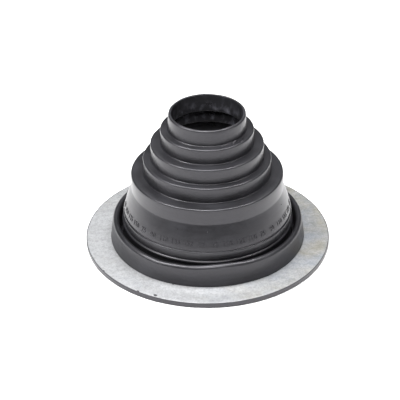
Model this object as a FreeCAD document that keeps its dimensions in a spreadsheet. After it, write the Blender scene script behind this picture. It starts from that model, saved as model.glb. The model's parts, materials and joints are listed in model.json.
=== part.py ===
import FreeCAD, Part
import os

import Sketcher

# Pipe flashing boot: a stepped EPDM rubber cone on a round rubber pad, with a soft aluminium
# flange bonded into the top of the pad. A pipe comes up through the roof and through the boot.
# The fitter trims the cone at the sleeve whose bore suits the pipe, so the rubber grips it,
# and screws the flange down to the roof. The bellows between cone and pad takes up the slope.
#
# Frame: millimetres, +Z up along the pipe, origin on the axis at the underside of the pad.

os.makedirs("parts", exist_ok=True)
doc = FreeCAD.newDocument("PipeFlashingBoot")

# ---------------------------------------------------------------- driving sizes

SIZES = [
    ("pipe_mouth", 75.0, "pipe gripped by the top sleeve, outside diameter"),
    ("second_step", 15.0, "how much wider the second sleeve's pipe is, on the diameter"),
    ("third_step", 20.0, "how much wider again the third sleeve's pipe is"),
    ("fourth_step", 15.0, "how much wider again the fourth sleeve's pipe is"),
    ("collar_step", 25.0, "how much wider again the pipe is that the collar grips"),
    ("grip", 5.0, "how much smaller than its pipe each bore is, on the diameter"),
    ("sleeve_wall", 2.8, "wall of each sleeve at its top edge"),
    ("sleeve_taper", 0.4, "how much further out a sleeve's foot is than its top edge"),
    ("mouth_height", 16.5, "height of the top sleeve"),
    ("sleeve_height", 16.0, "height of the second, third and fourth sleeves"),
    ("collar_height", 16.0, "height of the collar, the widest and lowest sleeve"),
    ("shelf_thickness", 1.6, "flat step between two sleeves, thin so that a knife cuts it"),
    ("cone_height", 24.5, "height of the flared cone under the collar"),
    ("cone_flare", 7.9, "how much further out the cone's foot is than the collar's foot"),
    ("cone_wall", 2.9, "wall of the cone at its foot, measured level"),
    ("notch_height", 1.7, "height of the fine notch between the cone and the skirt"),
    ("notch_depth", 0.5, "how far the notch is cut in from the foot of the cone"),
    ("skirt_step", 0.7, "how far the skirt, the upright band below, stands out from the cone"),
    ("skirt_height", 29.6, "height of the skirt above the middle of the trough's turn"),
    ("bead_radius", 1.6, "section radius of the drip bead round the skirt"),
    ("bead_drop", 10.7, "from the skirt's top down to the middle of the bead"),
    ("bellows_wall", 2.4, "wall of the bellows: skirt, trough, fold and ring"),
    ("trough_width", 4.8, "open width of the trough between the skirt and the fold"),
    ("trough_clearance", 2.0, "gap between the roof and the underside of the trough"),
    ("fold_radius", 3.2, "outer radius of the rolled fold along the top of the ring"),
    ("ring_height", 21.2, "height of the top of the fold above the flange"),
    ("ring_flare", 1.9, "how much further out the ring's foot is than its top"),
    ("foot_lip", 1.5, "how far the rubber lip stands out from the foot of the ring"),
    ("foot_lip_height", 1.0, "height of that lip above the flange"),
    ("pad_thickness", 4.3, "rubber under the flange"),
    ("pad_rim", 0.6, "width of the rubber rim that covers the flange's outer edge"),
    ("flange_width", 23.3, "width of the aluminium flange from its inner to its outer edge"),
    ("flange_thickness", 1.0, "thickness of the aluminium flange"),
    ("flange_clearance", 0.1, "gap between the flange's edges and the rubber round them"),
    ("flange_chamfer", 0.2, "broken corner along the flange's upper edges"),
    ("seal_groove_count", 4, "grooves that part the sealing ribs under the pad"),
    ("seal_groove_width", 2.4, "width of each groove"),
    ("seal_groove_depth", 1.2, "depth of each groove"),
    ("seal_margin", 3.0, "plain rubber between the outermost grooves and the pad's edges"),
    ("crest_radius", 1.0, "rounding of each sleeve's top edge, outside"),
    ("foot_radius", 1.3, "hollow rounding where a sleeve stands on its shelf"),
    ("rim_chamfer", 0.4, "broken corner of the mouth's top edge, inside"),
    ("lead_chamfer", 1.3, "slope at the lower end of each bore, which leads the pipe in"),
    ("shoulder_radius", 1.0, "rounding of the skirt's shoulder"),
    ("ring_foot_fillet", 1.4, "hollow rounding where the ring stands on its foot lip"),
]

sheet = doc.addObject("Spreadsheet::Sheet", "sizes")
for row, (alias, value, meaning) in enumerate(SIZES, start=1):
    sheet.set("A%d" % row, alias)
    sheet.set("B%d" % row, str(value))
    sheet.set("C%d" % row, meaning)
    sheet.setAlias("B%d" % row, alias)
doc.recompute()


class Size:
    """A length as a number and as the expression that binds it to the sheet."""

    def __init__(self, number, text):
        self.number = number
        self.text = text

    def combined(self, sign, other, number):
        other_text = other.text if isinstance(other, Size) else repr(other)
        return Size(number, "(%s %s %s)" % (self.text, sign, other_text))

    def __add__(self, other):
        return self.combined("+", other, self.number + number_of(other))

    def __sub__(self, other):
        return self.combined("-", other, self.number - number_of(other))

    def __mul__(self, other):
        return self.combined("*", other, self.number * number_of(other))

    def __truediv__(self, other):
        return self.combined("/", other, self.number / number_of(other))


def number_of(value):
    """The plain number of a Size, or the number itself."""
    return value.number if isinstance(value, Size) else value


def size(alias):
    """One driving size from the sheet."""
    return Size(float(sheet.get(alias)), "sizes." + alias)


# ---------------------------------------------------------------- sketches and edges

def origin_plane(body, role):
    """The body's own origin plane with this role."""
    for feature in body.Origin.OriginFeatures:
        if feature.Role == role:
            return feature
    raise RuntimeError("no plane " + role)


def new_sketch(body, name, role="XZ_Plane"):
    """An empty sketch on one of the body's origin planes; on XZ_Plane its axes are X and Z."""
    sketch = body.newObject("Sketcher::SketchObject", name)
    sketch.AttachmentSupport = (origin_plane(body, role), [""])
    sketch.MapMode = "FlatFace"
    return sketch


def hold(sketch, kind, geometry, point, value, name):
    """Hold one coordinate of a sketch point at a size from the sheet."""
    index = sketch.addConstraint(Sketcher.Constraint(kind, -1, 1, geometry, point, value.number))
    sketch.renameConstraint(index, name)
    sketch.setExpression("Constraints." + name, value.text)


def half_turn(start, end, bulge):
    """An arc of half a turn between two points, bulging to one side; True if it runs backwards."""
    first = FreeCAD.Vector(start[0], start[1], 0)
    last = FreeCAD.Vector(end[0], end[1], 0)
    centre = (first + last) / 2
    crown = centre + FreeCAD.Vector(bulge[0], bulge[1], 0) * first.distanceToPoint(centre)
    arc = Part.Arc(first, crown, last)
    # A sketch keeps arcs anticlockwise, so one drawn clockwise has its ends exchanged.
    turn = (crown - first).cross(last - crown).z
    return arc, turn < 0


def draw_outline(sketch, corners, folds):
    """Draw a closed outline through named corners, with half-turn arcs where folds says so.

    corners is a list of (name, r, z). folds maps a corner's name to the direction in which the
    arc from that corner to the next one bulges. Every corner is held by its own two sizes.
    """
    ends = []
    for index, (name, r, z) in enumerate(corners):
        _, next_r, next_z = corners[(index + 1) % len(corners)]
        start = (r.number, z.number)
        end = (next_r.number, next_z.number)
        if name in folds:
            arc, backwards = half_turn(start, end, folds[name])
            geometry = sketch.addGeometry(arc, False)
            ends.append((geometry, 2, 1) if backwards else (geometry, 1, 2))
        else:
            line = Part.LineSegment(FreeCAD.Vector(*start, 0), FreeCAD.Vector(*end, 0))
            ends.append((sketch.addGeometry(line, False), 1, 2))
    for index, (geometry, _, last) in enumerate(ends):
        following, first, _ = ends[(index + 1) % len(ends)]
        sketch.addConstraint(Sketcher.Constraint("Coincident", geometry, last, following, first))
    for (name, r, z), (geometry, first, _) in zip(corners, ends):
        hold(sketch, "DistanceX", geometry, first, r, name + "_r")
        hold(sketch, "DistanceY", geometry, first, z, name + "_z")
        if name not in folds:
            continue
        if folds[name][0]:
            hold(sketch, "DistanceX", geometry, 3, r, name + "_centre_r")
        else:
            hold(sketch, "DistanceY", geometry, 3, z, name + "_centre_z")


def revolve(body, kind, sketch, name):
    """Turn a section a full turn round the axis: a Revolution adds it, a Groove cuts it away."""
    feature = body.newObject(kind, name)
    feature.Profile = sketch
    feature.ReferenceAxis = (sketch, ["V_Axis"])
    feature.Angle = 360.0
    doc.recompute()
    return feature


def circle_edges(feature, places):
    """Names of the feature's circular edges that lie at the given radii and levels."""
    names = []
    for r, z in places:
        found = [
            "Edge%d" % number
            for number, edge in enumerate(feature.Shape.Edges, start=1)
            if isinstance(edge.Curve, Part.Circle)
            and abs(edge.Curve.Radius - r.number) < 1e-4
            and abs(edge.Curve.Center.z - z.number) < 1e-4
        ]
        if not found:
            raise RuntimeError("no edge at radius %.2f, level %.2f" % (r.number, z.number))
        names += found
    return names


def dress_edges(body, kind, name, places, amount):
    """Fillet or chamfer the circular edges at these places, by a size from the sheet."""
    base = body.Tip
    feature = body.newObject("PartDesign::" + kind, name)
    feature.Base = (base, circle_edges(base, places))
    measure = "Radius" if kind == "Fillet" else "Size"
    setattr(feature, measure, amount.number)
    feature.setExpression(measure, amount.text)
    doc.recompute()
    return feature


# ---------------------------------------------------------------- levels and radii

# Levels above the roof, from the pad up to the foot of the collar.
roof = Size(0.0, "0.0")
pad_top = size("pad_thickness")
flange_top = pad_top + size("flange_thickness")
fold_level = flange_top + size("ring_height") - size("fold_radius")
trough_level = size("trough_clearance") + size("bellows_wall") + size("trough_width") / 2
skirt_top = trough_level + size("skirt_height")
notch_top = skirt_top + size("notch_height")
collar_base = notch_top + size("cone_height")

# The sleeves from the collar up to the mouth: name, bore radius, level of foot, level of top edge.
sleeve_wall = size("sleeve_wall")
pipe = size("pipe_mouth") + size("second_step") + size("third_step") + size("fourth_step")
pipe = pipe + size("collar_step")
foot = collar_base
sleeves = []
for name, height, step_in in (
    ("collar", "collar_height", "collar_step"),
    ("fourth", "sleeve_height", "fourth_step"),
    ("third", "sleeve_height", "third_step"),
    ("second", "sleeve_height", "second_step"),
    ("mouth", "mouth_height", None),
):
    top = foot + size(height)
    sleeves.append((name, (pipe - size("grip")) / 2, foot, top))
    foot = top
    if step_in:
        pipe = pipe - size(step_in)

# Outer radii from the collar out to the pad. Each is set by the one inside it.
collar_foot = sleeves[0][1] + sleeve_wall + size("sleeve_taper")
cone_foot = collar_foot + size("cone_flare")
skirt = cone_foot + size("skirt_step")
trough_outer = skirt + size("trough_width")
ring_top = trough_outer + size("fold_radius") * 2
ring_foot = ring_top + size("ring_flare")
lip_edge = ring_foot + size("foot_lip")
flange_inner = lip_edge + size("flange_clearance")
flange_outer = flange_inner + size("flange_width")
recess_edge = flange_outer + size("flange_clearance")
pad_edge = recess_edge + size("pad_rim")


# ---------------------------------------------------------------- the moulded rubber boot

def sleeve_outside():
    """Corners down the outside of the sleeves, from the mouth's rim to the top of the cone."""
    corners = []
    for name, bore, foot, top in reversed(sleeves):
        corners.append((name + "_crest", bore + sleeve_wall, top))
        corners.append((name + "_foot", bore + sleeve_wall + size("sleeve_taper"), foot))
    return corners


def sleeve_inside():
    """Corners up the inside of the sleeves, from the top of the cone to the mouth's rim."""
    shelf = size("shelf_thickness")
    corners = [("collar_lead", sleeves[0][1], sleeves[0][2])]
    for (name, bore, _, top), (upper_name, upper_bore, _, _) in zip(sleeves, sleeves[1:]):
        corners.append((name + "_ceiling", bore, top - shelf))
        corners.append((upper_name + "_lead", upper_bore, top - shelf))
    name, bore, _, top = sleeves[-1]
    corners.append((name + "_rim", bore, top))
    return corners


def boot_outline():
    """The whole section of the moulding, down the outside and back up the inside."""
    wall = size("bellows_wall")
    bead = size("bead_radius")
    bead_level = skirt_top - size("bead_drop")
    lip_level = flange_top + size("foot_lip_height")
    corners = sleeve_outside() + [
        ("cone_foot", cone_foot, notch_top),
        ("notch_top", cone_foot - size("notch_depth"), notch_top),
        ("notch_floor", cone_foot - size("notch_depth"), skirt_top),
        ("skirt_shoulder", skirt, skirt_top),
        ("bead_top", skirt, bead_level + bead),
        ("bead_bottom", skirt, bead_level - bead),
        ("trough_inner", skirt, trough_level),
        ("trough_outer", trough_outer, trough_level),
        ("fold_inner", trough_outer, fold_level),
        ("fold_outer", ring_top, fold_level),
        ("ring_foot", ring_foot, lip_level),
        ("lip_edge", lip_edge, lip_level),
        ("recess_inner", lip_edge, pad_top),
        ("recess_outer", recess_edge, pad_top),
        ("rim_inner", recess_edge, flange_top),
        ("rim_outer", pad_edge, flange_top),
        ("pad_outer", pad_edge, roof),
        ("pad_inner", ring_foot - wall, roof),
        ("hollow_outer", ring_top - wall, fold_level),
        ("hollow_inner", trough_outer + wall, fold_level),
        ("keel_outer", trough_outer + wall, trough_level),
        ("keel_inner", skirt - wall, trough_level),
        ("skirt_inside", skirt - wall, skirt_top - size("notch_height")),
        ("cone_inside", cone_foot - size("cone_wall"), notch_top),
    ] + sleeve_inside()
    folds = {
        "bead_top": (1, 0),
        "trough_inner": (0, -1),
        "fold_inner": (0, 1),
        "hollow_outer": (0, 1),
        "keel_outer": (0, -1),
    }
    return corners, folds


def seal_grooves(body):
    """Cut the ring-shaped grooves under the pad that leave sealing ribs between them."""
    count = int(sheet.get("seal_groove_count"))
    width = size("seal_groove_width")
    depth = size("seal_groove_depth")
    inner = ring_foot - size("bellows_wall") + size("seal_margin")
    outer = pad_edge - size("seal_margin") - width
    pitch = (outer - inner) / max(count - 1, 1)
    sketch = new_sketch(body, "seal_groove_sections")
    for number in range(count):
        near = inner + pitch * number
        name = "groove_%d" % number
        draw_outline(sketch, [
            (name + "_a", near, roof),
            (name + "_b", near + width, roof),
            (name + "_c", near + width, depth),
            (name + "_d", near, depth),
        ], {})
    return revolve(body, "PartDesign::Groove", sketch, "seal_grooves")


def build_boot():
    """The one-piece EPDM moulding: pad, ring, bellows, cone, collar and four sleeves."""
    body = doc.addObject("PartDesign::Body", "epdm_boot")
    body.Label = "epdm_boot"
    section = new_sketch(body, "boot_section")
    corners, folds = boot_outline()
    draw_outline(section, corners, folds)
    revolve(body, "PartDesign::Revolution", section, "boot_moulding")
    place = {name: (r, z) for name, r, z in corners}
    crests = [place[sleeve[0] + "_crest"] for sleeve in sleeves]
    feet = [place[sleeve[0] + "_foot"] for sleeve in sleeves[1:]]
    leads = [place[sleeve[0] + "_lead"] for sleeve in sleeves[1:]]
    dress_edges(body, "Fillet", "crest_rounds", crests, size("crest_radius"))
    dress_edges(body, "Fillet", "foot_rounds", feet, size("foot_radius"))
    dress_edges(body, "Chamfer", "lead_slopes", leads, size("lead_chamfer"))
    dress_edges(body, "Chamfer", "rim_corner", [place["mouth_rim"]], size("rim_chamfer"))
    dress_edges(body, "Fillet", "shoulder_round", [place["skirt_shoulder"]], size("shoulder_radius"))
    dress_edges(body, "Fillet", "ring_foot_round", [place["ring_foot"]], size("ring_foot_fillet"))
    seal_grooves(body)
    return body


# ---------------------------------------------------------------- the aluminium flange

def build_flange():
    """The soft aluminium ring that lies in the recess in the top of the pad."""
    body = doc.addObject("PartDesign::Body", "aluminium_flange")
    body.Label = "aluminium_flange"
    blank = new_sketch(body, "flange_blank", "XY_Plane")
    for name, radius in (("inner", flange_inner), ("outer", flange_outer)):
        circle = Part.Circle(FreeCAD.Vector(0, 0, 0), FreeCAD.Vector(0, 0, 1), radius.number)
        geometry = blank.addGeometry(circle, False)
        blank.addConstraint(Sketcher.Constraint("Coincident", geometry, 3, -1, 1))
        index = blank.addConstraint(Sketcher.Constraint("Radius", geometry, radius.number))
        blank.renameConstraint(index, name)
        blank.setExpression("Constraints." + name, radius.text)
    plate = body.newObject("PartDesign::Pad", "flange_plate")
    plate.Profile = blank
    plate.setExpression("Length", "sizes.flange_thickness")
    doc.recompute()
    thickness = size("flange_thickness")
    rims = [(flange_inner, thickness), (flange_outer, thickness)]
    dress_edges(body, "Chamfer", "flange_corners", rims, size("flange_chamfer"))
    body.setExpression("Placement.Base.z", pad_top.text)
    doc.recompute()
    return body


# ---------------------------------------------------------------- build, check and write

def check_document():
    """Stop if any feature failed, or if a recompute left anything undone."""
    for item in doc.Objects:
        failed = {"Invalid", "Error"} & set(item.State)
        if failed:
            raise RuntimeError("%s is %s" % (item.Name, ", ".join(sorted(failed))))


def export(body):
    """Check one finished piece and write it to its STEP file."""
    shape = body.Shape
    if shape.isNull() or not shape.isValid() or len(shape.Solids) != 1:
        raise RuntimeError(body.Label + " is not one valid solid")
    shape.exportStep("parts/%s.step" % body.Label)
    box = shape.optimalBoundingBox()
    print("%-18s %9.1f mm3, radius %.2f mm, from z %.2f to %.2f mm" % (
        body.Label, shape.Volume, box.XMax, box.ZMin, box.ZMax))


pieces = [build_boot(), build_flange()]
doc.recompute()
check_document()
for piece in pieces:
    export(piece)
for name, bore, foot, top in sleeves:
    print("%-7s bore radius %.2f mm, foot %.2f mm, top edge %.2f mm" % (
        name, bore.number, foot.number, top.number))
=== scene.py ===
# %% [markdown]
# # A pipe flashing boot, dressed in Blender
#
# A pipe flashing boot keeps rain out where a pipe comes up through a roof. Its rubber is one
# moulding: a flat pad, a ring that rolls over into a bellows, a flared cone, a collar and four
# stepped sleeves. A ring of soft aluminium lies in the pad, and is dressed down to the tiles.
# The CAD model gives the main sizes. This script adds the finish: softened edges, the small
# unevenness of real rubber, moulded marks, and a material for each of the two pieces.

# %% Load the CAD frame
import json
import math

import bmesh
import bpy
from mathutils import Matrix, Vector, noise


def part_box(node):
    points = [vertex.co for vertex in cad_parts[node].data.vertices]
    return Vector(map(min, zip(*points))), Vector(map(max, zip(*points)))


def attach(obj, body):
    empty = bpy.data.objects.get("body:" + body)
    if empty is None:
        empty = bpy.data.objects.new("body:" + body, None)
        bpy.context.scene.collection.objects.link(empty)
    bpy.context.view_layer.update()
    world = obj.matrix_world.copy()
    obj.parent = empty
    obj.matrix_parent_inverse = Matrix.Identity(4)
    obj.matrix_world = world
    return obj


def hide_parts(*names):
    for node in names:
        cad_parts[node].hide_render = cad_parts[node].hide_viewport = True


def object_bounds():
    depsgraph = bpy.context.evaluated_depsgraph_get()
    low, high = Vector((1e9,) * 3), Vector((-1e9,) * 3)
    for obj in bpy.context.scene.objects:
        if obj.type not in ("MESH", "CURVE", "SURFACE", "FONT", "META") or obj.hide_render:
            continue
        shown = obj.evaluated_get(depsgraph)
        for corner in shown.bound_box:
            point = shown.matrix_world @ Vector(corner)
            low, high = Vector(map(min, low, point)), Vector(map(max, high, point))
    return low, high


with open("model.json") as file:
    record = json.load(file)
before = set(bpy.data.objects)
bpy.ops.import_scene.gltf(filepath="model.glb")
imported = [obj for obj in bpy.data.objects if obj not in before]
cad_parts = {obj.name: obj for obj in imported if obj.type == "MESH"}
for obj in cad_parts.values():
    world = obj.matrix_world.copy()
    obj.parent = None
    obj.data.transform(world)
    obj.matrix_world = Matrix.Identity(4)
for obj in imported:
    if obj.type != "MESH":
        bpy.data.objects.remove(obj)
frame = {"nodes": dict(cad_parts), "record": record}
cad_low, cad_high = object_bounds()
MM = 0.001
print("CAD nodes:", sorted(frame["nodes"]))
print("CAD box, mm:", [round(size / MM, 1) for size in cad_high - cad_low])

# %% [markdown]
# The record gives the bore of each sleeve, and the boxes of the two CAD nodes give the outer
# radii and the levels of the flange. A bore is smaller than the pipe that goes through it, so
# that the stretched rubber grips, and this gives back the pipe's size for the raised numerals.

# %% Read the sizes that the other pieces follow
bores = {
    mount["name"].replace("_bore", ""): mount["dims"]["r_mm"]
    for mount in frame["record"]["mounts"]
    if mount["kind"] == "bore"
}
_, boot_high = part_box("epdm_boot")
flange_low, flange_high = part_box("aluminium_flange")
mouth_level = boot_high.z / MM
pad_radius = boot_high.x / MM
pad_level, flange_level = flange_low.z / MM, flange_high.z / MM
flange_radius = flange_high.x / MM
sleeves = ["mouth", "second", "third", "fourth", "collar"]
GRIP = 5  # how much smaller than its pipe a bore is, on the diameter
pipes = [str(round(2 * bores[sleeve] + GRIP)) for sleeve in sleeves]
print("bores, mm:", bores, "for pipes of", pipes)
print("levels, mm:", round(pad_level, 2), round(flange_level, 2), round(mouth_level, 2))

# %% [markdown]
# ## The section of the boot
#
# A round moulding is made like a pot on a wheel: draw half of its section once, then spin it.
# The section could be a curve, but a bmesh wire keeps every corner as one vertex, and each
# corner can then be rounded by its own amount. These are its sizes in millimetres. The first
# level is the mouth's rim, and the others are the feet of the five sleeves.

# %% Sizes of the section
LEVELS = [mouth_level, 126.6, 110.6, 94.6, 78.6, 62.6]
WALL, SHELF = 2.8, 1.6
CONE_TOP, CONE_FOOT, CONE_LEVEL, BELLY = 75.7, 83.6, 38.1, 0.35
NOTCH = 0.5
SKIRT, SKIRT_TOP = 84.3, 36.4
BEAD, BEAD_LEVEL = 1.6, 25.7
TROUGH_LEVEL, FOLD_LEVEL = 6.8, 23.3
FOLD_INSIDE, FOLD_OUTSIDE = 89.1, 95.5
HOLLOW_INSIDE, HOLLOW_OUTSIDE, BELLOWS_WALL = 91.5, 93.1, 2.4
RING_FOOT, PAD_INSIDE, PAD_RIM = 97.6, 95.0, 0.6
print("cone: radius", CONE_TOP, "to", CONE_FOOT, "mm, fold:", FOLD_INSIDE, "to", FOLD_OUTSIDE, "mm")

# %% [markdown]
# The corners run from the mouth down the outside, under the pad, and back up the inside. The
# five sleeves come first. The mouth and the collar widen a little downwards, as the mould's
# taper leaves them, and the three sleeves between them flare by half a millimetre upwards.
# A sleeve's crest is rounded more than its foot, since it is a free edge of soft rubber.

# %% Corners of the sleeves
TAPERED, FLARED = (0.0, 0.4), (0.35, -0.15)  # how far the crest and the foot stand out
LEANS = {"mouth": TAPERED, "second": FLARED, "third": FLARED, "fourth": FLARED, "collar": TAPERED}
CREST_ROUND, FOOT_ROUND, COLLAR_FOOT_ROUND = 1.45, 0.9, 0.6

corners = []  # name, radius, level, rounding, half turn
for index, sleeve in enumerate(sleeves):
    outside = bores[sleeve] + WALL
    crest_lean, foot_lean = LEANS[sleeve]
    foot_round = COLLAR_FOOT_ROUND if sleeve == "collar" else FOOT_ROUND
    corners.append((sleeve + " crest", outside + crest_lean, LEVELS[index], CREST_ROUND, 0))
    corners.append((sleeve + " foot", outside + foot_lean, LEVELS[index + 1], foot_round, 0))
print(len(corners), "corners on the sleeves")

# %% [markdown]
# Below them come the cone with its slight belly, the skirt with its drip bead, the bellows,
# and the pad with the recess that the aluminium lies in. A half turn of +1 or -1 means that
# the wall rolls through half a circle to the next corner, as it does in the bellows.

# %% Corners from the cone down to the pad
corners += [
    ("cone belly", (CONE_FOOT + CONE_TOP) / 2 + BELLY, (CONE_LEVEL + LEVELS[5]) / 2, 9.0, 0),
    ("cone foot", CONE_FOOT, CONE_LEVEL, 0.35, 0),
    ("notch top", CONE_FOOT - NOTCH, CONE_LEVEL, 0, 0),
    ("notch floor", CONE_FOOT - NOTCH, SKIRT_TOP, 0, 0),
    ("skirt shoulder", SKIRT, SKIRT_TOP, 1.1, 0),
    ("bead top", SKIRT, BEAD_LEVEL + BEAD, 0, 1),
    ("bead bottom", SKIRT, BEAD_LEVEL - BEAD, 0, 0),
    ("trough inside", SKIRT, TROUGH_LEVEL, 0, -1),
    ("trough outside", FOLD_INSIDE, TROUGH_LEVEL, 0, 0),
    ("fold inside", FOLD_INSIDE, FOLD_LEVEL, 0, 1),
    ("fold outside", FOLD_OUTSIDE, FOLD_LEVEL, 0, 0),
    ("ring foot", RING_FOOT, pad_level, 0, 0),
    ("recess outside", pad_radius - PAD_RIM, pad_level, 0, 0),
    ("rim inside", pad_radius - PAD_RIM, flange_level, 0.15, 0),
    ("rim outside", pad_radius, flange_level, 0.3, 0),
    ("pad edge", pad_radius, 0.0, 0.8, 0),
]
print(len(corners), "corners down the outside")

# %% [markdown]
# Four grooves run round under the pad and leave ribs between them, which press into the
# sealant. From there the corners climb the inside: through the hollow of the ring, round the
# keel of the bellows, and up the cone to the ceilings of the sleeves. The lower end of each
# bore is rounded, to lead the pipe in.

# %% Corners under the pad and up the inside
GROOVE_STARTS, GROOVE_WIDTH, GROOVE_DEPTH = (117.6, 111.4, 104.2, 98.0), 2.4, 1.2
for start in GROOVE_STARTS:
    corners += [
        ("groove edge", start + GROOVE_WIDTH, 0.0, 0, 0),
        ("groove floor", start + GROOVE_WIDTH, GROOVE_DEPTH, 0, 0),
        ("groove floor", start, GROOVE_DEPTH, 0, 0),
        ("groove edge", start, 0.0, 0, 0),
    ]
corners += [
    ("pad inside", PAD_INSIDE, 0.0, 0, 0),
    ("hollow outside", HOLLOW_OUTSIDE, FOLD_LEVEL, 0, -1),
    ("hollow inside", HOLLOW_INSIDE, FOLD_LEVEL, 0, 0),
    ("keel outside", HOLLOW_INSIDE, TROUGH_LEVEL, 0, 1),
    ("keel inside", SKIRT - BELLOWS_WALL, TROUGH_LEVEL, 0, 0),
    ("skirt inside", SKIRT - BELLOWS_WALL, SKIRT_TOP - 1.7, 0, 0),
    ("cone inside", CONE_FOOT - 2.9, CONE_LEVEL, 0, 0),
    ("collar bottom", bores["collar"], LEVELS[5], 0, 0),
]
for index in range(len(sleeves) - 1, 0, -1):
    wide, narrow = bores[sleeves[index]], bores[sleeves[index - 1]]
    ceiling = LEVELS[index] - SHELF
    corners.append((sleeves[index] + " ceiling", wide, ceiling, 0, 0))
    corners.append((sleeves[index - 1] + " lead", narrow, ceiling, 1.4, 0))
corners.append(("mouth rim", bores["mouth"], mouth_level, 0.5, 0))
print(len(corners), "corners in the section")

# %% [markdown]
# A pen that extrudes one vertex at a time draws the section. Where the wall rolls over, the
# same vertex is spun through half a turn about the middle of the fold, so the arc is true.
# The vertices that need a rounding are kept in a list of their own, because each bevel
# renumbers the rest. Fourteen steps to a half turn look round from close by.

# %% Draw the section as a wire
def draw_section(corners):
    """A closed bmesh wire through the corners, in the XZ plane, and the corners to be rounded."""
    wire = bmesh.new()
    _, radius, level, rounding, _ = corners[0]
    first = pen = wire.verts.new((radius * MM, 0, level * MM))
    to_round = [(pen, rounding)] if rounding else []
    for (*_, half_turn), (_, radius, level, rounding, _) in zip(corners, corners[1:]):
        corner = Vector((radius * MM, 0, level * MM))
        if half_turn:
            centre = (pen.co + corner) / 2
            spun = bmesh.ops.spin(
                wire, geom=[pen], cent=centre, axis=(0, 1, 0), dvec=(0, 0, 0),
                angle=math.pi * half_turn, steps=14, use_merge=False, use_duplicate=False,
            )
            pen = [part for part in spun["geom_last"] if isinstance(part, bmesh.types.BMVert)][0]
        else:
            pen = bmesh.ops.extrude_vert_indiv(wire, verts=[pen])["verts"][0]
            pen.co = corner
        if rounding:
            to_round.append((pen, rounding))
    bmesh.ops.contextual_create(wire, geom=[pen, first])
    return wire, to_round


section, to_round = draw_section(corners)
print("wire of", len(section.verts), "vertices and", len(section.edges), "edges")

# %% [markdown]
# Moulded rubber has no sharp outer corners: the steel tool is cut with a ball-nosed cutter, and
# the rubber rounds off a little more as it shrinks. A bevel on a vertex of a wire is the same
# as a fillet in a sketch. The offset is the distance along the wall where the rounding starts.

# %% Round the corners
def round_corners(wire, to_round):
    """Rounds each listed vertex of a wire by its own amount in mm."""
    for corner, rounding in to_round:
        bmesh.ops.bevel(
            wire, geom=[corner], offset=rounding * MM, offset_type="OFFSET", segments=5,
            profile=0.5, affect="VERTICES", material=-1, clamp_overlap=False,
        )


round_corners(section, to_round)
print("rounded", len(to_round), "corners:", len(section.verts), "vertices")

# %% [markdown]
# The straight walls are still single edges. They are cut into pieces of about 4 mm, so that
# they can be bent slightly later, when the moulding is made a little uneven.

# %% Divide the long walls
def divide(wire, length=4.0):
    """Cuts every edge of a wire into pieces no longer than about this many mm."""
    for edge in list(wire.edges):
        cuts = int(edge.calc_length() / (length * MM))
        if cuts:
            bmesh.ops.subdivide_edges(wire, edges=[edge], cuts=cuts)


divide(section)
print("divided:", len(section.verts), "vertices round the section")

# %% [markdown]
# ## Spin the moulding
#
# The wire is spun through a full turn about the upright axis. With use_merge the last step is
# joined to the first, so there is no open seam. At 240 steps the flat facets stay within about
# 0.01 mm of the true circle. A closed shell has one inside and one outside, and recalculating
# the normals turns every face outwards.

# %% Spin the section into the boot
def spin_round(wire, steps=240):
    """Spins a closed wire once round the upright axis into a closed shell."""
    bmesh.ops.spin(
        wire, geom=wire.verts[:] + wire.edges[:], cent=(0, 0, 0), axis=(0, 0, 1),
        dvec=(0, 0, 0), angle=2 * math.pi, steps=steps, use_merge=True, use_duplicate=False,
    )
    bmesh.ops.remove_doubles(wire, verts=wire.verts, dist=0.01 * MM)
    bmesh.ops.recalc_face_normals(wire, faces=wire.faces)


spin_round(section)
print("spun:", len(section.faces), "faces, volume", round(section.calc_volume() / MM ** 3), "mm3")

# %% [markdown]
# ## Raised marks
#
# A roofer cuts the boot at the sleeve that fits the pipe, so such mouldings carry the pipe
# sizes as raised numerals: a row of them round the cone, and two inside each sleeve. Only plain
# sizes are given here. Each number is made as text, turned into a mesh, and bent on to the
# wall: across the text becomes an angle, up the text follows the slope of the wall, and the
# thickness goes outwards. The back half is sunk, as raised marks grow out of the wall. The
# curves of the figures are drawn coarsely, to keep fifty numbers light.

# %% Make a raised number and bend it
CAPITAL = 0.7  # the height of a figure as a share of the font's size


def raised_number(text, height, thickness):
    """A thick number as a mesh in millimetres, centred across, with zero halfway through it."""
    curve = bpy.data.curves.new("number", "FONT")
    curve.body = text
    curve.size = height / CAPITAL
    curve.align_x = "CENTER"
    curve.extrude = thickness / 2
    curve.resolution_u = 3
    holder = bpy.data.objects.new("number", curve)
    bpy.context.scene.collection.objects.link(holder)
    mesh = bpy.data.meshes.new_from_object(holder)
    bpy.data.objects.remove(holder)
    return mesh


def bend_on(body, mesh, angle, level, radius_at, slope=0.0, inside=False):
    """Adds a number to the body, bent round the wall at an angle in degrees and a level in mm."""
    number = bmesh.new()
    number.from_mesh(mesh)
    bmesh.ops.remove_doubles(number, verts=number.verts, dist=0.0005)
    for vert in number.verts:
        across, along, out = vert.co
        height = level + along * math.cos(slope)
        radius = radius_at(height)
        turn = math.radians(angle) + (-across if inside else across) / radius
        radius += (-out if inside else out) * math.cos(slope)
        vert.co = Vector((
            radius * math.sin(turn), -radius * math.cos(turn), height + out * math.sin(slope),
        )) * MM
    bent = bpy.data.meshes.new("bent")
    number.to_mesh(bent)
    number.free()
    body.from_mesh(bent)


print("figures are", CAPITAL, "of the font's size")

# %% [markdown]
# The row runs all the way round, just above the foot of the cone, one number every nine
# degrees. It has to follow the cone's radius, which changes with the level. Angle 0 is the
# front and +90 is the right-hand side.

# %% Numerals round the cone
MARK_STEP, MARK_START = 9, -49
MARK_HEIGHT, MARK_THICKNESS, MARK_LEVEL = 4.8, 0.75, 41.5
CONE_SLOPE = math.atan((CONE_FOOT - CONE_TOP) / (LEVELS[5] - CONE_LEVEL))


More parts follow.
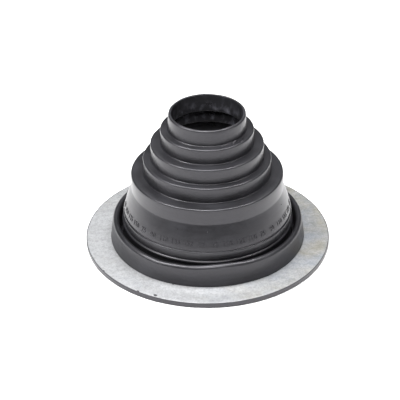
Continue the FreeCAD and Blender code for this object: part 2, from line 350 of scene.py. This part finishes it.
def cone_at(level):
    """The outer radius of the cone at a level, with its slight belly, all in mm."""
    share = (level - CONE_LEVEL) / (LEVELS[5] - CONE_LEVEL)
    return CONE_FOOT + (CONE_TOP - CONE_FOOT) * share + BELLY * math.sin(math.pi * share)


for count in range(360 // MARK_STEP):
    number = raised_number(pipes[count % len(pipes)], MARK_HEIGHT, MARK_THICKNESS)
    angle = MARK_STEP * count + MARK_START
    bend_on(section, number, angle, MARK_LEVEL, cone_at, CONE_SLOPE)
print(360 // MARK_STEP, "numbers round the cone")

# %% [markdown]
# Inside a sleeve the number stands near the foot of the bore, at the front and at the back. It
# is read from within, so it is bent the other way round.

# %% Numerals inside the sleeves
INNER_HEIGHT, INNER_THICKNESS, INNER_RISE = 4.5, 0.8, 4.0
for sleeve, pipe, level in zip(sleeves, pipes, LEVELS[1:]):
    number = raised_number(pipe, INNER_HEIGHT, INNER_THICKNESS)
    wall = bores[sleeve]
    for angle in (176, 356):
        bend_on(section, number, angle, level + INNER_RISE, lambda z: wall, inside=True)
print("two numbers inside each sleeve:", pipes)

# %% [markdown]
# Flash is rubber that squeezed out between the halves of the mould. A torn scrap of it lies on
# the second sleeve's shelf, where the moulding was pulled off its sprue, and crumbs of it cling
# to the pad's rim and the ring's foot. Small pips stand on the cone where air left the mould.
# Each is a small sphere, squashed and roughened, so that it reads as rubber. Its angle also
# picks its own piece of the noise, so no two lumps are alike.

# %% Pips and scraps of flash
PIP_ANGLES, PIP_LEVEL, PIP_SIZE = (-22, 0, 68, 158, 248), 56, (1.1, 0.9, 1.1)
TORN_FLASH = (  # angle, radius, size, tilt
    (43, 39.6, (5.6, 1.5, 1.9), 0), (47, 42.2, (4.6, 1.2, 1.4), 12),
    (51, 43.6, (4.0, 1.5, 1.2), -8), (38, 41.4, (3.0, 1.2, 1.0), 0),
    (56, 41.6, (3.2, 1.0, 1.3), 20), (34, 43.4, (2.2, 1.0, 0.8), -15),
)
CRUMBS = (  # angle, radius, level, size
    (-33, 122.1, 5.3, (3.0, 1.6, 1.2)), (-24.5, 120.2, 5.4, (3.6, 2.6, 1.3)),
    (-56, 122.3, 5.2, (3.4, 1.4, 1.4)), (-20, 98.1, 6.0, (2.4, 1.3, 1.3)),
    (-96, 97.9, 5.8, (3.0, 0.9, 1.2)),
)


def crumb(body, angle, radius, level, size, tilt=0.0):
    """A squashed, uneven lump of rubber. The size is its length, depth and height in mm."""
    lump = bmesh.ops.create_icosphere(body, subdivisions=2, radius=1.0)["verts"]
    round_axis = Matrix.Rotation(math.radians(angle), 3, "Z")
    turn = round_axis @ Matrix.Rotation(math.radians(tilt), 3, "Y")
    centre = round_axis @ Vector((0, -radius, level))
    for vert in lump:
        rough = 1 + 0.35 * noise.noise(vert.co * 1.7 + Vector((angle, angle * 2, 0)))
        shaped = Vector(part * width / 2 for part, width in zip(vert.co, size)) * rough
        vert.co = (turn @ shaped + centre) * MM


for angle in PIP_ANGLES:
    crumb(section, angle, cone_at(PIP_LEVEL), PIP_LEVEL, PIP_SIZE)
for angle, radius, size, tilt in TORN_FLASH:
    crumb(section, angle, radius, LEVELS[1] + 0.15, size, tilt)
for angle, radius, level, size in CRUMBS:
    crumb(section, angle, radius, level, size)
print(len(PIP_ANGLES) + len(TORN_FLASH) + len(CRUMBS), "pips and crumbs added")

# %% [markdown]
# ## Make it less than perfect
#
# Real rubber leaves the mould soft, and it is packed and stacked before it has quite set. The
# mouth goes slightly oval, the fold along the top of the ring dips where a thumb pressed it,
# and no wall is quite flat, which is what breaks up its reflections. The vertices of the
# finished spin are moved for this: a table of angles and lifts in millimetres describes the
# fold, and smooth noise does the rest. The lift grows from nothing low in the trough.

# %% Let the fold rise and dip
RING_ZONE = (87, 98.5)
STILL_LEVEL, FOLD_CROWN = 7, 24
FOLD_LIFTS = [
    (-180, 0.0), (-60, 0.0), (-46, -0.5), (-31, -1.5), (-17, -0.5), (11, 2.1), (26, 0.9),
    (40, 0.3), (60, 0.0), (180, 0.0),
]


def ease(value, low, high):
    """0 at low, 1 at high and a smooth curve between them. Low may be the larger number."""
    share = min(max((value - low) / (high - low), 0), 1)
    return share * share * (3 - 2 * share)


def fold_lift(angle):
    """How far the fold is lifted, in mm, at an angle in degrees round the boot."""
    for (start, before), (end, after) in zip(FOLD_LIFTS, FOLD_LIFTS[1:]):
        if start <= angle <= end:
            return before + (after - before) * ease(angle, start, end)
    return 0.0


for vert in section.verts:
    radius, level = vert.co.xy.length / MM, vert.co.z / MM
    if RING_ZONE[0] < radius < RING_ZONE[1] and level > STILL_LEVEL:
        angle = math.degrees(math.atan2(vert.co.x, -vert.co.y))
        vert.co.z += fold_lift(angle) * ease(level, STILL_LEVEL, FOLD_CROWN) * MM
lifts = [lift for _, lift in FOLD_LIFTS]
print("the fold is lifted by", min(lifts), "to", max(lifts), "mm")

# %% [markdown]
# The back of the mouth leans outwards, its left side is drawn in, and its rim droops towards
# the front. The slow noise on the walls changes about every 18 mm up the wall and 14 times
# round it, and the quick one twice as often round it. Both fade out towards the foot of the
# ring, which sits tight against the aluminium. At the end the rim is lifted back, so that the
# boot keeps its height.

# %% Bend the mouth and the walls
MOUTH_FOOT, RIM_ZONE, MOUTH_TOP = 127, 141, 143
RING_EDGE = 98
LEAN_BACK, DRAWN_IN = 1.6, 0.35
SLOW_SWAY, QUICK_SWAY = 0.28, 0.07
for vert in section.verts:
    spot = vert.co / MM
    radius, level = spot.xy.length, spot.z
    outward = Vector((spot.x, spot.y, 0)) / radius
    bend = LEAN_BACK * max(outward.y, 0) ** 2 - DRAWN_IN * ease(-outward.x, 0.2, 0.9)
    sway = bend * ease(level, MOUTH_FOOT, MOUTH_TOP)
    if radius < RING_EDGE:
        slow = noise.noise(Vector((outward.x, outward.y, level / 40)) * 2.2)
        quick = noise.noise(Vector((outward.x * 5, outward.y * 5, level / 14)))
        sway += (SLOW_SWAY * slow + QUICK_SWAY * quick) * ease(level, 6, 14)
    vert.co += outward * sway * MM
    if level > RIM_ZONE:
        droop = 0.5 + 0.5 * noise.noise(outward * 2.6 + Vector((3, 1, 0)))
        vert.co.z -= droop * (0.5 - 0.5 * outward.y) * MM
lift = cad_high.z - max(vert.co.z for vert in section.verts)
for vert in section.verts:
    if vert.co.z > RIM_ZONE * MM:
        vert.co.z += lift
print("mouth tops out at", round(max(vert.co.z for vert in section.verts) / MM, 2), "mm")

# %% [markdown]
# The shells of the numbers and crumbs sink into the wall, so they look like one moulding, and
# they are one piece of rubber: all go into the same mesh. Edges sharper than 38 degrees stay
# crisp, and everything else is shaded smooth.

# %% Put the boot in the frame
def finish_piece(mesh_data, name, body="root"):
    """Turns a bmesh into a smooth-shaded object at the origin that rides on a CAD body."""
    mesh = bpy.data.meshes.new(name)
    mesh_data.to_mesh(mesh)
    mesh_data.free()
    mesh.shade_smooth()
    mesh.set_sharp_from_angle(angle=math.radians(38))
    piece = bpy.data.objects.new(name, mesh)
    bpy.context.scene.collection.objects.link(piece)
    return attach(piece, body)


boot = finish_piece(section, "rubber_boot")
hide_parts("epdm_boot")
print(boot.name, len(boot.data.polygons), "faces")

# %% [markdown]
# ## The aluminium ring
#
# The flange is punched from sheet about 1 mm thick, and the rubber is moulded against it, so
# its inner edge runs right up to the foot of the ring. It is drawn and spun like the boot. Soft
# sheet never lies flat once it has been handled: its top is given waves a tenth or two of a
# millimetre high, which the eye reads in the reflections rather than in the shape. At the
# front its inner edge curls up against the rubber, by just under a millimetre.

# %% Spin the flange
flange_bore = RING_FOOT + 0.1
sheet, edges_to_round = draw_section([
    ("inner low", flange_bore, pad_level, 0, 0),
    ("outer low", flange_radius, pad_level, 0, 0),
    ("outer top", flange_radius, flange_level, 0.2, 0),
    ("inner top", flange_bore, flange_level, 0.15, 0),
])
round_corners(sheet, edges_to_round)
divide(sheet, 3.0)
spin_round(sheet)
print("spun:", len(sheet.faces), "faces from radius", round(flange_bore, 2), "mm")

# %% [markdown]
# Only the vertices of the top are moved. The curl starts at a radius of 112 mm and grows
# towards the rubber, and it fades out to the left and right of the front.

# %% Make the flange wavy
BROAD_WAVE, SMALL_WAVE, CURL = 0.22, 0.07, 0.8
CURL_START = 112
for vert in sheet.verts:
    if vert.co.z > (pad_level + 0.5) * MM:
        broad = noise.noise(vert.co / (26 * MM))
        small = noise.noise(vert.co / (9 * MM) + Vector((5, 2, 0)))
        inwards = ease(vert.co.xy.length / MM, CURL_START, RING_FOOT)
        in_front = ease(-vert.co.xy.normalized().y, 0.78, 0.97)
        vert.co.z += (BROAD_WAVE * broad + SMALL_WAVE * small + CURL * (inwards * in_front)) * MM
flange = finish_piece(sheet, "aluminium_ring")
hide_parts("aluminium_flange")
print(flange.name, len(flange.data.polygons), "faces")

# %% [markdown]
# ## Materials
#
# Every colour is written as it looks on a screen, and one function turns it into the linear
# values that Blender works in. A second function adds a node with its settings and links. The
# Mix node keeps its colours on sockets 6 and 7, behind those for numbers and vectors.

# %% Helpers for materials
COLOUR_A, COLOUR_B, MIXED_COLOUR = 6, 7, 2  # numbers of the Mix node's sockets


def srgb(code):
    """A hex colour as it looks on a screen, turned into Blender's linear values."""
    parts = [int(code[i:i + 2], 16) / 255 for i in (1, 3, 5)]
    return [c / 12.92 if c <= 0.04045 else ((c + 0.055) / 1.055) ** 2.4 for c in parts] + [1.0]


def new_material(name, **values):
    """A material with a Principled shader, whose plain values are set on its own sockets."""
    material = bpy.data.materials.new(name)
    material.use_nodes = True
    tree = material.node_tree
    tree.nodes.clear()
    output = tree.nodes.new("ShaderNodeOutputMaterial")
    shader = tree.nodes.new("ShaderNodeBsdfPrincipled")
    tree.links.new(shader.outputs["BSDF"], output.inputs["Surface"])
    for socket, value in values.items():
        shader.inputs[socket.replace("_", " ")].default_value = value
    return material, tree, shader


def add(tree, kind, inputs=(), **settings):
    """Adds a node: inputs are (socket, value or link) pairs, and settings are its own options."""
    node = tree.nodes.new("ShaderNode" + kind)
    for key, value in settings.items():
        setattr(node, key, value)
    for socket, value in inputs:
        if isinstance(value, bpy.types.NodeSocket):
            tree.links.new(value, node.inputs[socket])
        else:
            node.inputs[socket].default_value = value
    return node


def per_mm(size):
    """The scale that gives a noise of this feature size in mm on Object coordinates."""
    return 1 / (size * MM)


print("helpers ready")

# %% [markdown]
# ### EPDM rubber
#
# The boot is EPDM, a synthetic rubber filled with carbon black and cured in a steel mould. The
# mould was turned on a lathe and lightly blasted, so the surface is satin, with a very fine
# grain and faint turning rings. Rubber blooms as it ages: a thin waxy film, cloudy and
# slightly violet, that dulls the shine in patches. The grain is near 0.3 mm on the real
# thing, and is drawn at 0.8 mm, because it would vanish in the render.

# %% EPDM rubber, moulded
epdm, tree, shader = new_material(
    "epdm_rubber_moulded", IOR=1.5, Specular_Tint=srgb("#fbf8ff"),
)
place = add(tree, "TexCoord").outputs["Object"]
cloud = add(tree, "TexNoise", [
    ("Vector", place), ("Scale", per_mm(26)), ("Detail", 4.0), ("Roughness", 0.6),
])
smear = add(tree, "Mapping", [("Vector", place), ("Scale", (1.0, 1.0, 9.0))])
streak = add(tree, "TexNoise", [
    ("Vector", smear.outputs[0]), ("Scale", per_mm(22)), ("Detail", 5.0), ("Roughness", 0.65),
])
mixed = add(tree, "Math", [
    (0, cloud.outputs["Fac"]), (1, streak.outputs["Fac"]),
], operation="ADD")
bloom = add(tree, "MapRange", [
    ("Value", mixed.outputs[0]), ("From Min", 0.85), ("From Max", 1.25),
])
colour = add(tree, "Mix", [
    ("Factor", bloom.outputs[0]), (COLOUR_A, srgb("#1f1f21")), (COLOUR_B, srgb("#262629")),
], data_type="RGBA")
shine = add(tree, "MapRange", [("Value", bloom.outputs[0]), ("To Min", 0.30), ("To Max", 0.37)])
tree.links.new(shine.outputs[0], shader.inputs["Roughness"])
print(epdm.name, "has its bloom")

# %% [markdown]
# Two bumps shape the surface: the grain of the mould, and a swell of long shallow ripples that
# run round the boot, so slight that they only bend the reflections. The swell has no finer
# detail in it, as that would make the bright line along each crest look ragged.

# %% Grain and swell of the rubber
grain = add(tree, "TexNoise", [("Vector", place), ("Scale", per_mm(0.8)), ("Detail", 2.0)])
grain_bump = add(tree, "Bump", [
    ("Height", grain.outputs["Fac"]), ("Strength", 0.03), ("Distance", 0.15 * MM),
])
swell = add(tree, "TexNoise", [
    ("Vector", smear.outputs[0]), ("Scale", per_mm(24)), ("Detail", 0.0),
])
swell_bump = add(tree, "Bump", [
    ("Height", swell.outputs["Fac"]), ("Strength", 0.12), ("Distance", 0.4 * MM),
    ("Normal", grain_bump.outputs[0]),
])
tree.links.new(swell_bump.outputs[0], shader.inputs["Normal"])
print(epdm.name, len(tree.nodes), "nodes so far")

# %% [markdown]
# The mould's core is dusted with talc, so that the rubber comes off it. Some of the powder
# stays inside the two top sleeves, in pale upright smudges that fade towards the rim. The
# dust is drawn only where the radius and the level say "inside": within the mouth's wall, or
# within the second sleeve's wall and under its shelf.

# %% Where the talc lies
MOUTH_LIMIT = (bores["mouth"] + 1.6) * MM
SECOND_LIMIT = (bores["second"] + 0.8) * MM
SHELF_LIMIT = (LEVELS[1] - SHELF + 0.2) * MM
apart = add(tree, "SeparateXYZ", [("Vector", place)])
flat = add(tree, "VectorMath", [(0, place), (1, (1.0, 1.0, 0.0))], operation="MULTIPLY")
radius = add(tree, "VectorMath", [(0, flat.outputs[0])], operation="LENGTH").outputs["Value"]
in_mouth = add(tree, "Math", [(0, radius), (1, MOUTH_LIMIT)], operation="LESS_THAN")
in_second = add(tree, "Math", [(0, radius), (1, SECOND_LIMIT)], operation="LESS_THAN")
under_shelf = add(tree, "Math", [
    (0, apart.outputs["Z"]), (1, SHELF_LIMIT),
], operation="LESS_THAN")
below = add(tree, "Math", [
    (0, in_second.outputs[0]), (1, under_shelf.outputs[0]),
], operation="MULTIPLY")
inside = add(tree, "Math", [(0, in_mouth.outputs[0]), (1, below.outputs[0])], operation="MAXIMUM")
print("talc within", round(SECOND_LIMIT / MM, 1), "mm of the axis")

# %% [markdown]
# The smudges are a noise about 5 mm across, stretched upwards, and only its pale half is used.
# Talc is a dull pale grey, and even the thickest smudge covers only half of the black.

# %% Talc inside the mouth
fading = add(tree, "MapRange", [
    ("Value", apart.outputs["Z"]), ("From Min", 138 * MM), ("From Max", 129 * MM),
    ("To Min", 0.12), ("To Max", 1.0),
])
upright = add(tree, "Mapping", [("Vector", place), ("Scale", (1.0, 1.0, 0.6))])
powder = add(tree, "TexNoise", [
    ("Vector", upright.outputs[0]), ("Scale", per_mm(5)), ("Detail", 3.0), ("Roughness", 0.6),
])
smudge = add(tree, "MapRange", [
    ("Value", powder.outputs["Fac"]), ("From Min", 0.50), ("From Max", 0.80), ("To Max", 0.5),
])
faded = add(tree, "Math", [(0, smudge.outputs[0]), (1, fading.outputs[0])], operation="MULTIPLY")
dust = add(tree, "Math", [(0, faded.outputs[0]), (1, inside.outputs[0])], operation="MULTIPLY")
dusted = add(tree, "Mix", [
    ("Factor", dust.outputs[0]), (COLOUR_A, colour.outputs[MIXED_COLOUR]),
    (COLOUR_B, srgb("#85858f")),
], data_type="RGBA")
tree.links.new(dusted.outputs[MIXED_COLOUR], shader.inputs["Base Color"])
boot.data.materials.append(epdm)
print(epdm.name, len(tree.nodes), "nodes")

# %% [markdown]
# ### Soft aluminium
#
# The flange is dead-soft aluminium sheet. It leaves the rolls matt, with a fine mottle of
# light and dark grains well under a millimetre across, drawn at 1.6 mm, because finer ones
# would not show in the render. Handling and storage then dull it in patches: grey oxide with a
# faint cool or warm cast, and slanting wipe marks. On top of that, painted shade darkens it
# towards the right and the back, where less light falls on it than on the left. The oxide
# scatters light as a matt paint does, so the metal isn't given the full Metallic of 1.

# %% Patterns of the aluminium
aluminium, tree, shader = new_material("soft_aluminium_rolled", Metallic=0.75)
place = add(tree, "TexCoord").outputs["Object"]
grain = add(tree, "TexNoise", [
    ("Vector", place), ("Scale", per_mm(1.6)), ("Detail", 2.0), ("Roughness", 0.6),
])
mottle = add(tree, "TexNoise", [
    ("Vector", place), ("Scale", per_mm(3.5)), ("Detail", 4.0), ("Roughness", 0.7),
])
turned = add(tree, "Mapping", [
    ("Vector", place), ("Rotation", (0, 0, math.radians(52))), ("Scale", (1.0, 2.2, 1.0)),
])
wiped = add(tree, "TexNoise", [
    ("Vector", turned.outputs[0]), ("Scale", per_mm(14)), ("Detail", 4.0), ("Roughness", 0.6),
])
cast = add(tree, "TexNoise", [
    ("Vector", place), ("Scale", per_mm(30)), ("Detail", 3.0), ("Roughness", 0.5),
])
print(aluminium.name, "has a grain, a mottle, wipe marks and a cast")

# %% [markdown]
# The oxide is one number from 0 for clean metal to 1 for dull. It also carries painted shade:
# it grows towards the right and the back, where less light falls. The wipe marks add to it or
# take from it, and the cast makes it warm or cool.

# %% Oxide and painted shade on the aluminium
# Painted shade: the metal is darkened towards the right and the back, where less light falls on it.
shade_axis = add(tree, "VectorMath", [(0, place), (1, (1.0, 0.5, 0.0))], operation="DOT_PRODUCT")
painted_side_shade = add(tree, "MapRange", [
    ("Value", shade_axis.outputs["Value"]), ("From Min", -100 * MM), ("From Max", 115 * MM),
    ("To Max", 0.85),
])
patch = add(tree, "MapRange", [
    ("Value", wiped.outputs["Fac"]), ("From Min", 0.35), ("From Max", 0.65),
    ("To Min", -0.18), ("To Max", 0.22),
])
# The wipe marks of oxide and the painted shade add up to one factor.
oxide_and_shade = add(tree, "Math", [
    (0, patch.outputs[0]), (1, painted_side_shade.outputs[0]),
], operation="ADD", use_clamp=True)
tint = add(tree, "ValToRGB", [("Fac", cast.outputs["Fac"])])
warm, cool = tint.color_ramp.elements
warm.position, warm.color = 0.40, srgb("#918f88")
cool.position, cool.color = 0.62, srgb("#898d93")
# The clean colour is darkened towards the oxide's colour by the oxide and the painted shade
# together.
worn_and_shaded = add(tree, "Mix", [
    ("Factor", oxide_and_shade.outputs[0]), (COLOUR_A, srgb("#aeafb1")), (COLOUR_B, tint.outputs["Color"]),
], data_type="RGBA")
print("the cast turns from warm to cool between", round(warm.position, 2), round(cool.position, 2))

# %% [markdown]
# Grain and mottle together lighten or darken the colour by a tenth or two, and both are a
# slight bump as well. Where the oxide and the painted shade are strong, the metal is rougher.

# %% Soft aluminium, rolled and handled, with painted shade
both = add(tree, "Math", [(0, grain.outputs["Fac"]), (1, mottle.outputs["Fac"])], operation="ADD")
brightness = add(tree, "MapRange", [
    ("Value", both.outputs[0]), ("From Min", 0.80), ("From Max", 1.20),
    ("To Min", 0.80), ("To Max", 1.10),
])
shade = add(tree, "VectorMath", [
    (0, worn_and_shaded.outputs[MIXED_COLOUR]), ("Scale", brightness.outputs[0]),
], operation="SCALE")
tree.links.new(shade.outputs[0], shader.inputs["Base Color"])
dull = add(tree, "MapRange", [("Value", oxide_and_shade.outputs[0]), ("To Min", 0.50), ("To Max", 0.62)])
tree.links.new(dull.outputs[0], shader.inputs["Roughness"])
grain_bump = add(tree, "Bump", [
    ("Height", grain.outputs["Fac"]), ("Strength", 0.10), ("Distance", 0.15 * MM),
])
mottle_bump = add(tree, "Bump", [
    ("Height", mottle.outputs["Fac"]), ("Strength", 0.12), ("Distance", 0.3 * MM),
    ("Normal", grain_bump.outputs[0]),
])
tree.links.new(mottle_bump.outputs[0], shader.inputs["Normal"])
flange.data.materials.append(aluminium)
print(aluminium.name, len(tree.nodes), "nodes")

# %% [markdown]
# ## Floor, light and camera
#
# The floor is a wide sheet of white paper. Vertical rubber walls mirror it, which is why they
# look lighter than the flat shelves: those mirror the dim room above and behind.

# %% Floor
FLOOR_RADIUS = 2.4
ground = bmesh.new()
bmesh.ops.create_circle(ground, cap_ends=True, segments=64, radius=FLOOR_RADIUS)
floor_mesh = bpy.data.meshes.new("floor")
ground.to_mesh(floor_mesh)
ground.free()
floor = bpy.data.objects.new("floor", floor_mesh)
bpy.context.scene.collection.objects.link(floor)
paper, tree, shader = new_material("white_paper_floor", Base_Color=srgb("#f6f6f6"), Roughness=0.9)
floor.data.materials.append(paper)
print("floor radius", FLOOR_RADIUS, "m")

# %% [markdown]
# Soft light comes from five large boxes: the strongest hangs over the front, the one at the
# left is stronger than the one at the right, and the overhead and back ones only fill. Three
# small boxes high up draw the thin bright line along each rounded edge: one for the left side,
# one for the middle and one for the right.

# %% Lights
AIM = Vector((0, 0, 0.06))


def softbox(name, place, width, height, watts):
    """A rectangular area light at a place, turned to face the boot."""
    light = bpy.data.lights.new(name, "AREA")
    light.shape = "RECTANGLE"
    light.size, light.size_y = width, height
    light.energy = watts
    lamp = bpy.data.objects.new(name, light)
    lamp.location = place
    lamp.rotation_euler = (AIM - Vector(place)).to_track_quat("-Z", "Y").to_euler()
    bpy.context.scene.collection.objects.link(lamp)


softbox("overhead_box", (0, 0, 1.5), 0.9, 0.9, 4)
softbox("front_box", (0, -0.9, 1.35), 1.0, 0.5, 21)
softbox("back_box", (0, 0.95, 1.2), 1.0, 0.5, 3)
softbox("left_box", (-1.05, -0.35, 1.0), 0.6, 0.8, 10)
softbox("right_box", (1.05, -0.35, 1.0), 0.6, 0.8, 3)
softbox("left_edge_box", (-0.6, 0, 1.3), 0.25, 0.25, 14)
softbox("top_edge_box", (-0.1, 0.1, 1.5), 0.2, 0.2, 12)
softbox("right_edge_box", (0.45, 0.2, 1.35), 0.25, 0.25, 11)
print(len(bpy.data.lights), "lights")

# %% [markdown]
# The studio itself is dark, so that the sloping cone, which mirrors the far end of the room,
# stays darker than the upright walls. Only where the camera looks past the floor does it see
# a pale background.

# %% Studio
world = bpy.data.worlds.new("studio")
bpy.context.scene.world = world
world.use_nodes = True
tree = world.node_tree
tree.nodes.clear()
sky = add(tree, "OutputWorld")
dark_room = add(tree, "Background", [("Color", srgb("#101012"))])
pale_room = add(tree, "Background", [("Color", srgb("#f2f2f2"))])
seen = add(tree, "LightPath").outputs["Is Camera Ray"]
room = add(tree, "MixShader", [(0, seen), (1, dark_room.outputs[0]), (2, pale_room.outputs[0])])
tree.links.new(room.outputs[0], sky.inputs["Surface"])
print(world.name, len(tree.nodes), "nodes")

# %% [markdown]
# The camera looks down at 32 degrees from about 1.4 m away, through a long lens, so the
# circles of the boot are seen as flat ellipses with very little perspective. It is turned by
# three angles: yaw round the upright axis, pitch down, and a slight roll, as of a held camera.

# %% Camera
camera_data = bpy.data.cameras.new("camera")
camera = bpy.data.objects.new("camera", camera_data)
bpy.context.scene.collection.objects.link(camera)
bpy.context.scene.camera = camera
camera_data.sensor_width = 36
camera_data.lens = 120.9
CAMERA_PLACE = (0, -1.14037, 0.75934)
yaw, pitch, roll = (math.radians(angle) for angle in (-0.370, -32.127, -0.504))
level_reach = math.cos(pitch)
forward = Vector((math.sin(yaw) * level_reach, math.cos(yaw) * level_reach, math.sin(pitch)))
right = Vector((math.cos(yaw), -math.sin(yaw), 0))
up = right.cross(forward)
across = math.cos(roll) * right + math.sin(roll) * up
upwards = -math.sin(roll) * right + math.cos(roll) * up
turn = Matrix((across, upwards, -forward)).transposed()
camera.matrix_world = Matrix.Translation(CAMERA_PLACE) @ turn.to_4x4()
bpy.context.scene.view_settings.view_transform = "Standard"
print("camera at", [round(length, 3) for length in CAMERA_PLACE])
